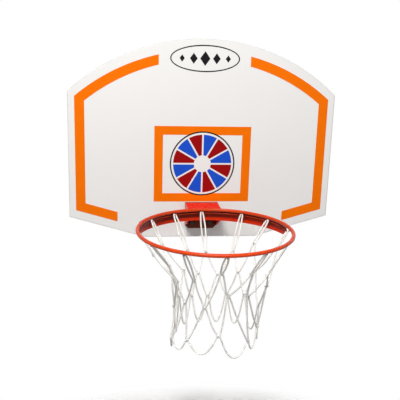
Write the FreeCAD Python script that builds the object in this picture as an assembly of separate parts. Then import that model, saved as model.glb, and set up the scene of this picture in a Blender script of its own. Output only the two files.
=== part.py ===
import FreeCAD
import Part
import math
import os

os.makedirs("parts", exist_ok=True)

# Basketball backboard with a fixed ring and a knotted net, for a wall.
# The origin is the centre of the four wall holes, on the wall. +X is right as a player sees
# the board, -Y points at the player and +Z is up. Lengths are in millimetres.

# Board
board_width = 800.0
board_height = 600.0
board_thickness = 12.0
side_height = 377.0
foot_drop = 66.0
foot_width = 346.0
face_sheet = 0.6
edge_band = 1.0

# Printed films on the front face. The target and the oval are placed from the board's bottom edge,
# and the badge from the middle of the target.
film = 0.3
stripe_width = 28.5
stripe_side_margin = 20.0
stripe_arch_drop = 31.0
stripe_foot_margin = 25.5
stripe_top_gap = 272.0
stripe_foot_gap = 512.0
target_width = 293.0
target_height = 232.0
target_line = 26.0
target_low = 113.0
badge_diameter = 198.0
badge_outline = 4.0
badge_field_diameter = 178.0
badge_hub_diameter = 52.0
badge_field_gap = 5.0
badge_lift = 2.0
badge_fields = 12
oval_width = 206.0
oval_depth = 78.0
oval_line = 3.5
oval_height = 544.0
diamond_width = 30.0
diamond_depth = 42.0
diamond_pitch = 34.0
# Sizes of the row of diamonds in the oval, as shares of the largest
diamond_size_shares = (0.5, 0.75, 1.0, 0.75, 0.5)

# Wall rails behind the board, of Z section
wall_gap = 40.0
rail_sheet = 3.0
rail_flange = 34.0
rail_length = 320.0
rail_bend = 3.0
wall_hole_edge = 70.0
wall_hole_rise = 240.0
wall_hole = 9.0
wall_centre_height = 300.0
rail_screw = 4.5
rail_screw_head = 9.0
rail_screw_head_height = 3.0
rail_screw_bite = 9.0
rail_screw_end_margin = 30.0
rail_screw_edge_margin = 12.0

# Ring
ring_height = 113.0
ring_inside = 400.0
rod = 10.0
ring_gap = 95.0
rod_sides = 10
brace_height = 35.0
brace_sheet = 3.0
brace_length = 520.0
brace_shift = 12.0
brace_rise = 2.0
brace_seat = 0.5

# Bracket, from the board to the ring
bracket_width = 100.0
bracket_height = 83.0
bracket_sheet = 4.0
bracket_corner = 12.0
shelf_drop = 2.0
gusset_nose = 6.0
weld = 4.0

# Bolts through bracket, board and backing plate
bolt = 8.0
bolt_hole = 9.0
bolt_span = 54.0
bolt_rise = 40.0
bolt_margin = 18.0
bolt_head_flats = 13.0
bolt_head_height = 5.3
bolt_tail = 3.0
nut_height = 6.5
washer = 16.0
washer_sheet = 1.6
backing_width = 110.0
backing_height = 84.0
backing_sheet = 3.0
backing_corner = 8.0
# Holes and shanks that repeat have this many flat sides. The four wall holes are round.
fastener_sides = 10

# Hooks and net
hook_count = 12
hook_wire = 2.0
hook_drop = 0.5
hook_tip = 3.0
hook_inset = 2.0
net_length = 332.0
net_cord = 5.0
net_knot = 13.0
loop_clearance = 0.3
loop_spread = 7.0
cord_gap = 0.3
cord_sides = 6
loop_bend_runs = 4
hook_bend_runs = 4
rim_loop_runs = 7
# Hooks are welded on by hand: how far each stands off the even pitch, as a share of the pitch
hook_turn_shares = (-0.11, 0.03, -0.12, -0.10, 0.0, 0.0, 0.0, 0.0, 0.0, -0.05, 0.20, 0.07)
# Knots, row by row, from the back towards +X: turn off the even pitch as a share of the pitch,
# radius as a share of the ring's, drop below the ring as a share of the net's length
knot_row_shares = (
    ((-0.07, 0.66, 0.315), (0.03, 0.68, 0.295), (-0.10, 0.72, 0.190), (-0.03, 0.83, 0.150),
     (0.07, 0.73, 0.300), (-0.03, 0.71, 0.235), (0.03, 0.68, 0.205), (-0.03, 0.69, 0.275),
     (-0.07, 0.73, 0.210), (-0.17, 0.80, 0.180), (0.17, 0.80, 0.205), (0.17, 0.68, 0.290)),
    ((0.00, 0.55, 0.495), (0.00, 0.56, 0.450), (-0.10, 0.62, 0.390), (0.23, 0.70, 0.420),
     (0.17, 0.58, 0.455), (0.17, 0.58, 0.415), (0.13, 0.58, 0.510), (0.05, 0.57, 0.505),
     (-0.33, 0.55, 0.375), (-0.10, 0.55, 0.390), (0.10, 0.54, 0.420), (0.00, 0.55, 0.480)),
    ((0.00, 0.49, 0.680), (0.00, 0.51, 0.650), (0.00, 0.55, 0.620), (0.03, 0.61, 0.650),
     (-0.44, 0.60, 0.790), (-0.74, 0.54, 0.870), (-0.03, 0.52, 0.760), (0.48, 0.54, 0.825),
     (0.20, 0.62, 0.840), (0.07, 0.51, 0.650), (0.07, 0.50, 0.630), (0.03, 0.49, 0.660)),
)
# Lowest point of each loop on the net's lower rim, as a share of the net's length
rim_loop_shares = (0.93, 0.92, 0.91, 0.92, 0.96, 0.99, 0.94, 0.93, 0.94, 0.92, 0.91, 0.92)
# A knot's profile: place along it and radius, as shares of half its size
knot_profile_shares = ((-1.0, 0.55), (-0.45, 1.0), (0.45, 1.0), (1.0, 0.55))
# Sag of a mesh cord between two knots, as a share of its span
mesh_sag_share = 0.05

# All cuts run past their solids by this much
overrun = 2.0

# Places that follow from the sizes above
board_back = -wall_gap
board_front = board_back - board_thickness
board_low = -wall_centre_height
board_top = board_low + board_height
half_width = board_width / 2
side_low = board_low + foot_drop
side_top = side_low + side_height
arch_rise = board_top - side_top
arch_radius = (half_width ** 2 + arch_rise ** 2) / (2 * arch_rise)
arch_centre = board_top - arch_radius
film_front = board_front - film
badge_z = board_low + target_low + target_height / 2 + badge_lift
rail_seat = board_back + rail_sheet
wall_hole_x = half_width - wall_hole_edge
rod_radius = rod / 2
ring_radius = (ring_inside + rod) / 2
ring_level = board_low + ring_height
ring_y = board_front - ring_gap - rod_radius - ring_radius
brace_top = ring_level + brace_rise
brace_low = brace_top - brace_height
brace_inner = ring_radius + rod_radius - brace_seat
brace_outer = brace_inner + brace_sheet
shelf_top = ring_level - shelf_drop
shelf_low = shelf_top - bracket_sheet
bracket_low = shelf_top - bracket_height
plate_front = board_front - bracket_sheet
half_bracket = bracket_width / 2
bolt_low = bracket_low + bolt_margin
bolt_places = [(x, z) for x in (-bolt_span / 2, bolt_span / 2) for z in (bolt_low, bolt_low + bolt_rise)]
backing_back = board_back + backing_sheet
net_pitch = 360.0 / hook_count
hook_bend = (net_cord + hook_wire) / 2 + loop_clearance
hook_radius = ring_radius - hook_inset
hook_level = ring_level - rod_radius - hook_drop
knot_radius = net_knot / 2
port_offset = (net_cord + cord_gap) / 2


def point(x, y, z):
    return FreeCAD.Vector(x, y, z)


along_x = point(1, 0, 0)
along_y = point(0, 1, 0)
up = point(0, 0, 1)
ring_foot = point(0, ring_y, 0)


def save(name, solids):
    """Writes one node from a list of solids and reports their count and volume."""
    shape = Part.makeCompound(solids) if len(solids) > 1 else solids[0]
    shape.exportStep("parts/" + name + ".step")
    print(name, len(shape.Solids), "solids", round(shape.Volume), "mm3, valid", shape.isValid())


def block(x_low, x_high, y_low, y_high, z_low, z_high):
    return Part.makeBox(x_high - x_low, y_high - y_low, z_high - z_low, point(x_low, y_low, z_low))


def round_along_y(diameter, x, z, y_low, y_high):
    return Part.makeCylinder(diameter / 2, y_high - y_low, point(x, y_low, z), along_y)


def many_sided(diameter, x, y, z):
    """A closed outline in the plane of the board, with its corners on a circle."""
    turns = [2 * math.pi * k / fastener_sides for k in range(fastener_sides)]
    return polygon([point(x + diameter / 2 * math.cos(t), y, z + diameter / 2 * math.sin(t)) for t in turns])


def rod_along_y(diameter, x, z, y_low, y_high):
    return Part.Face(many_sided(diameter, x, y_low, z)).extrude(along_y * (y_high - y_low))


def drill(shape, places, diameter, y_low, y_high, cutter=rod_along_y):
    for x, z in places:
        shape = shape.cut(cutter(diameter, x, z, y_low, y_high))
    return shape


def ring_drum(radius, z_low, z_high, turn=0.0, sweep=360.0):
    """A drum, or a wedge of one, about the ring's axis. Turns start at the back of the ring."""
    drum = Part.makeCylinder(radius, z_high - z_low, point(0, ring_y, z_low), up, sweep)
    drum.rotate(ring_foot, up, 90.0 + turn)
    return drum


def ring_rod():
    """The ring, turned from a many-sided section as wide as the round bar."""
    turns = [2 * math.pi * k / rod_sides for k in range(rod_sides)]
    section = [point(0, rod_radius * math.cos(t), rod_radius * math.sin(t)) for t in turns]
    centre = ring_point(0, ring_radius, ring_level)
    return Part.Face(polygon([centre + corner for corner in section])).revolve(ring_foot, up, 360.0)


def ring_point(turn, radius, z):
    angle = math.radians(turn)
    return point(radius * math.sin(angle), ring_y + radius * math.cos(angle), z)


def polygon(corners):
    return Part.makePolygon(list(corners) + [corners[0]])


def upright(pairs):
    """A closed outline in the plane of the board, from pairs of x and z."""
    return polygon([point(x, 0, z) for x, z in pairs])


def circle(diameter, x, z):
    return Part.Wire(Part.Edge(Part.Circle(point(x, 0, z), along_y, diameter / 2)))


def ellipse(width, depth, z):
    curve = Part.Ellipse(point(width / 2, 0, z), point(0, 0, z + depth / 2), point(0, 0, z))
    return Part.Wire(curve.toShape())


def rounded(corners):
    """A closed outline from pairs of a corner point and its radius, with arcs at the corners."""
    edges, ends = [], []
    for number, (corner, radius) in enumerate(corners):
        back = (corners[number - 1][0] - corner).normalize()
        ahead = (corners[(number + 1) % len(corners)][0] - corner).normalize()
        half = back.getAngle(ahead) / 2
        reach = radius / math.tan(half)
        first, last = corner + back * reach, corner + ahead * reach
        if radius:
            middle = corner + (back + ahead).normalize() * (radius / math.sin(half) - radius)
            edges.append(Part.Arc(first, middle, last).toShape())
        ends.append((first, last))
    for (first, last), (after, _) in zip(ends, ends[1:] + ends[:1]):
        edges.append(Part.makeLine(last, after))
    return Part.Wire(Part.__sortEdges__(edges))


def plate(outline, y_front, thickness):
    """A flat plate of an upright outline, with its front face at y_front."""
    solid = Part.Face(outline).extrude(point(0, thickness, 0))
    solid.translate(point(0, y_front, 0))
    return solid


def film_piece(outline):
    return plate(outline, film_front, film)


def film_cutter(outline):
    return plate(outline, film_front - overrun, film + 2 * overrun)


def hexagon(flats, x, z, y_front, height):
    corner = flats / 2 / math.cos(math.radians(30))
    turns = [math.radians(60 * k) for k in range(6)]
    outline = upright([(x + corner * math.cos(t), z + corner * math.sin(t)) for t in turns])
    return plate(outline, y_front, height)


def board_outline(side_inset, arch_inset, foot_inset, arch_drop=0.0):
    """The board's outline, moved in from its sides, its arched top and its slanted feet."""
    x = half_width - side_inset
    radius = arch_radius - arch_inset
    centre = arch_centre - arch_drop
    corner_top = centre + math.sqrt(radius ** 2 - x ** 2)
    foot_run = (board_width - foot_width) / 2
    slope = foot_drop / foot_run
    lift = foot_inset * math.hypot(foot_run, foot_drop) / foot_run
    corner_low = board_low + lift + slope * (x - foot_width / 2)
    low = board_low + foot_inset
    x_low = foot_width / 2 + (foot_inset - lift) / slope
    arch = Part.Arc(point(-x, 0, corner_top), point(0, 0, centre + radius), point(x, 0, corner_top))
    right = [(x, corner_top), (x, corner_low), (x_low, low)]
    left = [(-a, b) for a, b in reversed(right)]
    lines = Part.makePolygon([point(a, 0, b) for a, b in right + left])
    return Part.Wire([arch.toShape()] + lines.Edges)


def rail_screw_places(side):
    """Screws through the board flange of one rail: side is -1 for left and 1 for right."""
    web = wall_hole_x - rail_flange / 2
    x = side * (web + rail_sheet - rail_flange + rail_screw_edge_margin)
    reach = rail_length / 2 - rail_screw_end_margin
    return [(x, -reach), (x, reach)]


def build_board():
    inner = board_outline(edge_band, edge_band, edge_band)
    screws = rail_screw_places(-1) + rail_screw_places(1)
    screw_end = board_back - rail_screw_bite
    past_back = board_back + overrun
    core_depth = board_thickness - 2 * face_sheet

    band = plate(board_outline(0, 0, 0), board_front, board_thickness)
    band = band.cut(plate(inner, board_front - overrun, board_thickness + 2 * overrun))
    core = plate(inner, board_front + face_sheet, core_depth)
    core = drill(core, bolt_places, bolt_hole, board_front, past_back)
    core = drill(core, screws, rail_screw, screw_end, past_back)
    front = plate(inner, board_front, face_sheet)
    front = drill(front, bolt_places, bolt_hole, board_front - overrun, board_back)
    back = plate(inner, board_back - face_sheet, face_sheet)
    back = drill(back, bolt_places, bolt_hole, board_front, past_back)
    back = drill(back, screws, rail_screw, screw_end, past_back)
    save("board_edge_band", [band])
    save("board_core", [core])
    save("board_front_sheet", [front])
    save("board_back_sheet", [back])


def build_border_stripes():
    outer = (stripe_side_margin, 0.0, stripe_foot_margin)
    inner = [margin + stripe_width for margin in outer]
    band = film_piece(board_outline(*outer, stripe_arch_drop))
    band = band.cut(film_cutter(board_outline(*inner, stripe_arch_drop)))
    y_low, y_high = film_front - overrun, board_front + overrun
    middle = (side_low + side_top) / 2
    top_gap = block(-stripe_top_gap / 2, stripe_top_gap / 2, y_low, y_high, middle, board_top)
    foot_gap = block(-stripe_foot_gap / 2, stripe_foot_gap / 2, y_low, y_high, board_low, middle)
    left, right = sorted(band.cut(top_gap).cut(foot_gap).Solids, key=lambda solid: solid.CenterOfMass.x)
    save("border_stripe_left", [left])
    save("border_stripe_right", [right])


def rectangle(width, z_low, z_high):
    return upright([(-width / 2, z_low), (width / 2, z_low), (width / 2, z_high), (-width / 2, z_high)])


def build_target():
    """A square frame above the ring. The badge lies over its middle."""
    low = board_low + target_low
    high = low + target_height
    inside = rectangle(target_width - 2 * target_line, low + target_line, high - target_line)
    frame = film_piece(rectangle(target_width, low, high)).cut(film_cutter(inside))
    save("target_frame", [frame.cut(film_cutter(circle(badge_diameter, 0, badge_z)))])


def badge_field(number):
    """One wedge of the badge's rosette, between hub and rim, less half a gap on each side."""
    step = math.radians(360.0 / badge_fields)
    rim, hub, half_gap = badge_field_diameter / 2, badge_hub_diameter / 2, badge_field_gap / 2

    def place(turn, radius, shift):
        along = math.sqrt(radius ** 2 - shift ** 2)
        x = along * math.sin(turn) + shift * math.cos(turn)
        return point(x, 0, badge_z + along * math.cos(turn) - shift * math.sin(turn))

    start, middle, end = number * step, (number + 0.5) * step, (number + 1) * step
    hub_start, rim_start = place(start, hub, half_gap), place(start, rim, half_gap)
    hub_end, rim_end = place(end, hub, -half_gap), place(end, rim, -half_gap)
    edges = [
        Part.makeLine(hub_start, rim_start),
        Part.Arc(rim_start, place(middle, rim, 0), rim_end).toShape(),
        Part.makeLine(rim_end, hub_end),
        Part.Arc(hub_end, place(middle, hub, 0), hub_start).toShape(),
    ]
    return film_piece(Part.Wire(edges))


def build_badge():
    ring = film_piece(circle(badge_diameter, 0, badge_z))
    inside = circle(badge_diameter - 2 * badge_outline, 0, badge_z)
    save("badge_outline", [ring.cut(film_cutter(inside))])
    save("badge_blue_fields", [badge_field(number) for number in range(0, badge_fields, 2)])
    save("badge_red_fields", [badge_field(number) for number in range(1, badge_fields, 2)])


def build_oval():
    z = board_low + oval_height
    ring = film_piece(ellipse(oval_width, oval_depth, z))
    inside = ellipse(oval_width - 2 * oval_line, oval_depth - 2 * oval_line, z)
    save("oval_outline", [ring.cut(film_cutter(inside))])
    diamonds = []
    for number, share in enumerate(diamond_size_shares):
        x = (number - (len(diamond_size_shares) - 1) / 2) * diamond_pitch
        half_x, half_z = share * diamond_width / 2, share * diamond_depth / 2
        corners = [(x - half_x, z), (x, z - half_z), (x + half_x, z), (x, z + half_z)]
        diamonds.append(film_piece(upright(corners)))
    save("oval_diamonds", diamonds)


def build_wall_rail(name, side):
    """One flange on the wall, with the holes, points outwards. The other lies on the board."""
    web_in = wall_hole_x - rail_flange / 2
    web_out = web_in + rail_sheet
    far = web_in + rail_flange
    near = web_out - rail_flange
    outer_bend = rail_bend + rail_sheet
    section = [
        (far, 0.0, 0.0), (web_in, 0.0, outer_bend), (web_in, rail_seat, rail_bend), (near, rail_seat, 0.0),
        (near, board_back, 0.0), (web_out, board_back, outer_bend), (web_out, -rail_sheet, rail_bend),
        (far, -rail_sheet, 0.0),
    ]
    outline = rounded([(point(x, y, -rail_length / 2), radius) for x, y, radius in section])
    rail = Part.Face(outline).extrude(point(0, 0, rail_length))
    holes = [(wall_hole_x, -wall_hole_rise / 2), (wall_hole_x, wall_hole_rise / 2)]
    rail = drill(rail, holes, wall_hole, -rail_sheet - overrun, overrun, round_along_y)
    rail = drill(rail, rail_screw_places(1), rail_screw, board_back - overrun, rail_seat + overrun)
    if side < 0:
        rail = rail.mirror(point(0, 0, 0), along_x)
    save(name, [rail])


def build_rail_screws():
    screws = []
    for x, z in rail_screw_places(-1) + rail_screw_places(1):
        shank = rod_along_y(rail_screw, x, z, board_back - rail_screw_bite, rail_seat)
        foot = many_sided(rail_screw_head, x, rail_seat, z)
        top = many_sided(rail_screw, x, rail_seat + rail_screw_head_height, z)
        screws.append(shank.fuse(Part.makeLoft([foot, top], True, True)).removeSplitter())
    save("rail_screws", screws)


def build_ring():
    """The rod, and round its rear third a flat strip on edge that the rod is let into.

    The strip stands a little off centre, towards +X.
    """
    save("ring_rod", [ring_rod()])
    sweep = math.degrees(brace_length / ring_radius)
    start = math.degrees(brace_shift / ring_radius) + sweep / 2
    outer = ring_drum(brace_outer, brace_low, brace_top, -start, sweep)
    strip = outer.cut(ring_drum(brace_inner, brace_low - overrun, brace_top + overrun))
    save("ring_brace", [strip.cut(ring_rod())])


def build_bracket():
    shelf = block(-half_bracket, half_bracket, ring_y, board_front, shelf_low, shelf_top)
    save("bracket_shelf", [shelf.cut(ring_drum(brace_outer, shelf_low - overrun, shelf_top + overrun))])

    corner = bracket_corner
    outline = [
        (half_bracket, shelf_low), (-half_bracket, shelf_low), (-half_bracket, bracket_low + corner),
        (-half_bracket + corner, bracket_low), (half_bracket - corner, bracket_low),
        (half_bracket, bracket_low + corner),
    ]
    back = plate(upright(outline), plate_front, bracket_sheet)
    back = drill(back, bolt_places, bolt_hole, plate_front - overrun, board_front + overrun)
    save("bracket_back_plate", [back])

    foot = bracket_low + corner
    side = [
        (plate_front, shelf_low), (ring_y, shelf_low), (ring_y, brace_low),
        (ring_y + brace_outer, brace_low), (plate_front - gusset_nose, foot), (plate_front, foot),
    ]
    drum = ring_drum(brace_outer, bracket_low, ring_level)
    for name, x in (("left", -half_bracket), ("right", half_bracket - bracket_sheet)):
        gusset = Part.Face(polygon([point(x, y, z) for y, z in side])).extrude(along_x * bracket_sheet)
        save("bracket_gusset_" + name, [gusset.cut(drum)])


def build_welds():
    """Weld beads: along the brace on the shelf, and in the corners of gussets and back plate."""
    reach = math.degrees(math.asin((half_bracket - weld) / (brace_outer + weld)))
    bead = ring_drum(brace_outer + weld, shelf_top, shelf_top + weld, -reach, 2 * reach)
    slope = Part.makeCone(brace_outer + weld, brace_outer, weld, point(0, ring_y, shelf_top), up)
    inside = ring_drum(brace_outer, shelf_top - overrun, shelf_top + weld + overrun)
    beads = [bead.common(slope).cut(inside)]
    low = bracket_low + bracket_corner
    for side in (-1, 1):
        corner = point(side * (half_bracket - bracket_sheet), plate_front, low)
        outline = polygon([corner, corner - along_x * (side * weld), corner - along_y * weld])
        beads.append(Part.Face(outline).extrude(up * (shelf_low - low)))
    save("bracket_welds", beads)


def build_bolts():
    nut_seat = backing_back + washer_sheet
    tail = nut_seat + nut_height + bolt_tail
    bolts, washers, nuts = [], [], []
    for x, z in bolt_places:
        head = hexagon(bolt_head_flats, x, z, plate_front - bolt_head_height, bolt_head_height)
        bolts.append(head.fuse(rod_along_y(bolt, x, z, plate_front, tail)).removeSplitter())
        disc = rod_along_y(washer, x, z, backing_back, nut_seat)
        washers.append(drill(disc, [(x, z)], bolt_hole, backing_back - overrun, nut_seat + overrun))
        nut = hexagon(bolt_head_flats, x, z, nut_seat, nut_height)
        nuts.append(drill(nut, [(x, z)], bolt, nut_seat - overrun, tail))
    save("bracket_bolts", bolts)
    save("bolt_washers", washers)
    save("bolt_nuts", nuts)


def build_backing_plate():
    middle = bolt_low + bolt_rise / 2
    half_x, half_z = backing_width / 2, backing_height / 2
    corners = [(-half_x, -half_z), (half_x, -half_z), (half_x, half_z), (-half_x, half_z)]
    outline = rounded([(point(x, 0, middle + z), backing_corner) for x, z in corners])
    backing = plate(outline, board_back, backing_sheet)
    backing = drill(backing, bolt_places, bolt_hole, board_back - overrun, backing_back + overrun)
    save("backing_plate", [backing])


def hook_turn(number):
    return (number + hook_turn_shares[number]) * net_pitch


def faceted_tube(path, radii):
    """A closed tube of flat faces through the points of a path, mitred where the path turns."""
    runs = [(after - before).normalize() for before, after in zip(path, path[1:])]
    outward = path[0] - point(0, ring_y, path[0].z)
    aside = runs[0].cross(outward).normalize()
    across = runs[0].cross(aside)
    turns = [2 * math.pi * (k + 0.5) / cord_sides for k in range(cord_sides)]
    sections = [[path[0] + (aside * math.cos(t) + across * math.sin(t)) * radii[0] for t in turns]]
    for number in range(1, len(path)):
        run = runs[number - 1]
        mitre = run + runs[min(number, len(runs) - 1)]
        section = []
        for corner in sections[-1]:
            met = corner + run * ((path[number] - corner).dot(mitre) / run.dot(mitre))
            section.append(path[number] + (met - path[number]) * (radii[number] / radii[number - 1]))
        sections.append(section)
    faces = [Part.Face(polygon(sections[0])), Part.Face(polygon(sections[-1]))]
    for one, two in zip(sections, sections[1:]):
        for k in range(cord_sides):
            after = (k + 1) % cord_sides
            faces.append(Part.Face(polygon([one[k], one[after], two[after], two[k]])))
    tube = Part.Solid(Part.Shell(faces))
    if tube.Volume < 0:
        tube.reverse()
    return tube


def build_hooks():
    """J-hooks under the rod: an arm from the rod, a half round bend inwards and a short tip."""
    centre = ring_point(0, hook_radius - hook_bend, hook_level)
    half_step = math.pi / (2 * hook_bend_runs)
    corner = hook_bend / math.cos(half_step)
    steps = [half_step * (2 * k + 1) for k in range(hook_bend_runs)]
    bend = [centre + along_y * (corner * math.cos(a)) - up * (corner * math.sin(a)) for a in steps]
    top = ring_point(0, hook_radius, ring_level)
    tip = centre - along_y * hook_bend + up * hook_tip
    path = [top] + bend + [tip]
    model = faceted_tube(path, [hook_wire / 2] * len(path)).cut(ring_rod())
    hooks = []
    for number in range(hook_count):
        hook = model.copy()
        hook.rotate(ring_foot, up, -hook_turn(number))
        hooks.append(hook)
    save("net_hooks", hooks)


def cord(path, knots):
    """A cord along a path, cut back to the faces of the knots that hold its ends."""
    solid = faceted_tube(path, [net_cord / 2] * len(path))
    for knot in knots:
        solid = solid.cut(knot)
    return max(solid.Solids, key=lambda piece: piece.Volume)


def knot_centre(row, number):
    """Each row of knots is set half a pitch round from the row above it."""
    shift, radius_share, drop_share = knot_row_shares[row][number % hook_count]
    turn = (number + row % 2 / 2 + shift) * net_pitch
    return ring_point(turn, radius_share * ring_radius, ring_level - drop_share * net_length)


def knot_port(row, number, side):
    """Where a cord enters a knot: left of its middle for side -1, right of it for side 1."""
    centre = knot_centre(row, number)
    outward = (centre - point(0, ring_y, centre.z)).normalize()
    return centre + outward.cross(up) * (side * port_offset)


def knot_solid(row, number):
    centre = knot_centre(row, number)
    path = [centre + up * (place * knot_radius) for place, _ in knot_profile_shares]
    return faceted_tube(path, [share * knot_radius for _, share in knot_profile_shares])


def hook_loop_path(number):
    """Up from the first knot, round the hook's bend and down again."""
    turn = hook_turn(number)
    crown = ring_point(turn, hook_radius - hook_bend, hook_level)
    left, right = knot_port(0, number, -1), knot_port(0, number, 1)
    down = ((left + right) * 0.5 - crown).normalize()
    side = (right - left - down * (right - left).dot(down)).normalize()
    half_step = math.pi / (2 * loop_bend_runs)
    corner = hook_bend / math.cos(half_step)
    seat = crown + down * hook_bend
    steps = [half_step * (2 * k + 1) for k in range(loop_bend_runs)]
    bend = [seat - side * (corner * math.cos(a)) - down * (corner * math.sin(a)) for a in steps]
    middle = (crown + (left + right) * 0.5) * 0.5
    return [left, middle - side * loop_spread] + bend + [middle + side * loop_spread, right]


def mesh_path(start, end):
    middle = (start + end) * 0.5 - up * (mesh_sag_share * (end - start).Length)
    return [start, middle, end]


def rim_loop_path(number):
    """A loop that hangs as a parabola between two knots of the lowest row."""
    last_row = len(knot_row_shares) - 1
    start, end = knot_port(last_row, number, 1), knot_port(last_row, number + 1, -1)
    low = ring_level - rim_loop_shares[number] * net_length + net_cord / 2
    depth = (start.z + end.z) / 2 - low
    path = []
    for k in range(rim_loop_runs + 1):
        share = k / rim_loop_runs
        path.append(start + (end - start) * share - up * (depth * (1 - (2 * share - 1) ** 2)))
    return path


def build_net():
    rows = len(knot_row_shares)
    knots = [[knot_solid(row, number) for number in range(hook_count)] for row in range(rows)]
    loops, mesh, rim_loops = [], [], []
    for number in range(hook_count):
        after = (number + 1) % hook_count
        loops.append(cord(hook_loop_path(number), [knots[0][number]]))
        for row in range(rows - 1):
            left, right = (number + row - 1) % hook_count, (number + row) % hook_count
            for side, lower in ((-1, left), (1, right)):
                path = mesh_path(knot_port(row, number, side), knot_port(row + 1, lower, -side))
                mesh.append(cord(path, [knots[row][number], knots[row + 1][lower]]))
        rim_loops.append(cord(rim_loop_path(number), [knots[-1][number], knots[-1][after]]))
    save("net_loops", loops)
    save("net_mesh", mesh)
    save("net_rim_loops", rim_loops)
    save("net_knots", [knot for row in knots for knot in row])


build_board()
build_border_stripes()
build_target()
build_badge()
build_oval()
build_wall_rail("wall_rail_left", -1)
build_wall_rail("wall_rail_right", 1)
build_rail_screws()
build_ring()
build_bracket()
build_welds()
build_bolts()
build_backing_plate()
build_hooks()
build_net()
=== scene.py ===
import bmesh
import bpy
import math
import random
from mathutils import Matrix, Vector


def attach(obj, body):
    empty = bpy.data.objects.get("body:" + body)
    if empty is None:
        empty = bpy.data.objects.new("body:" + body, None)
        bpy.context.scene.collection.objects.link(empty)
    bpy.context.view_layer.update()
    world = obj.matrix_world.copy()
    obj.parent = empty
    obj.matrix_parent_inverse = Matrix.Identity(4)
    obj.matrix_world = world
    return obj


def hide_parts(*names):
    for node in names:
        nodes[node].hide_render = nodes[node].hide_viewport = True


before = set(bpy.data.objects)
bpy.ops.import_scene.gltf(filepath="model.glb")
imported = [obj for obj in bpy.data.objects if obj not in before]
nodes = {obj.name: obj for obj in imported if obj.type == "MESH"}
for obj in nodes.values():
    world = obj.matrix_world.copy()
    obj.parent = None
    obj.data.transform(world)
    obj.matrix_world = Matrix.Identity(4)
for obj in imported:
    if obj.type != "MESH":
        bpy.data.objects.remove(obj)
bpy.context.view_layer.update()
scene = bpy.context.scene
scene.view_settings.view_transform = "Standard"
mm = 0.001
print("frame loaded,", len(nodes), "nodes")


# node trees

def addNode(tree, kind, sockets=None, **settings):
    node = tree.nodes.new("ShaderNode" + kind)
    for name, value in settings.items():
        setattr(node, name, value)
    for name, value in (sockets or {}).items():
        node.inputs[name].default_value = value
    return node


def join(tree, source, target):
    tree.links.new(source, target)


def calculate(tree, operation, first, second):
    node = addNode(tree, "Math", operation=operation)
    for socket, value in zip(node.inputs, (first, second)):
        if isinstance(value, (int, float)):
            socket.default_value = value
        else:
            join(tree, value, socket)
    return node.outputs[0]


def remap(tree, source, low, high, toLow, toHigh):
    node = addNode(tree, "MapRange", {"From Min": low, "From Max": high, "To Min": toLow, "To Max": toHigh})
    join(tree, source, node.inputs["Value"])
    return node.outputs[0]


def mixColours(tree, blend, factor, first, second):
    node = addNode(tree, "Mix", data_type="RGBA", blend_type=blend)
    for socket, value in zip((node.inputs[0], node.inputs[6], node.inputs[7]), (factor, first, second)):
        if isinstance(value, (int, float, tuple)):
            socket.default_value = value
        else:
            join(tree, value, socket)
    return node.outputs[2]


def noiseAt(tree, scale, detail, roughness, stretch=None):
    spot = addNode(tree, "TexCoord").outputs["Object"]
    if stretch:
        turned = addNode(tree, "Mapping", {"Scale": stretch})
        join(tree, spot, turned.inputs["Vector"])
        spot = turned.outputs["Vector"]
    noise = addNode(tree, "TexNoise", {"Detail": detail, "Roughness": roughness})
    join(tree, spot, noise.inputs["Vector"])
    if isinstance(scale, (int, float)):
        noise.inputs["Scale"].default_value = scale
    else:
        join(tree, scale, noise.inputs["Scale"])
    return noise.outputs[0]


def newGroup(name, inputs, outputs):
    group = bpy.data.node_groups.new(name, "ShaderNodeTree")
    for label, kind, value in inputs:
        socket = group.interface.new_socket(name=label, in_out="INPUT", socket_type="NodeSocket" + kind)
        socket.default_value = value
    for label, kind in outputs:
        group.interface.new_socket(name=label, in_out="OUTPUT", socket_type="NodeSocket" + kind)
    return group, group.nodes.new("NodeGroupInput").outputs, group.nodes.new("NodeGroupOutput").inputs


def useGroup(tree, group, **values):
    node = tree.nodes.new("ShaderNodeGroup")
    node.node_tree = group
    for label, value in values.items():
        node.inputs[label].default_value = value
    return node


# effects that several finishes share

def makePatchyTone():  # slow drift of a colour, lighter and darker
    group, given, out = newGroup(
        "patchyTone", [("Base", "Color", (0.8, 0.8, 0.8, 1)), ("Scale", "Float", 20), ("Amount", "Float", 0.1)],
        [("Color", "Color")])
    drift = calculate(group, "SUBTRACT", noiseAt(group, given["Scale"], 4.0, 0.6), 0.5)
    level = calculate(group, "ADD", calculate(group, "MULTIPLY", drift, given["Amount"]), 1.0)
    join(group, mixColours(group, "MULTIPLY", 1.0, given["Base"], level), out["Color"])
    return group


def makeOrangePeel():  # soft ripple of a sprayed or pressed skin
    group, given, out = newGroup(
        "orangePeel", [("Scale", "Float", 500), ("Sheen", "Float", 0.35), ("Spread", "Float", 0.08)],
        [("Height", "Float"), ("Roughness", "Float")])
    ripple = noiseAt(group, given["Scale"], 2.0, 0.5)
    drift = calculate(group, "SUBTRACT", noiseAt(group, 25.0, 5.0, 0.65), 0.5)
    join(group, ripple, out["Height"])
    spread = calculate(group, "MULTIPLY", drift, given["Spread"])
    join(group, calculate(group, "ADD", spread, given["Sheen"]), out["Roughness"])
    return group


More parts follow.
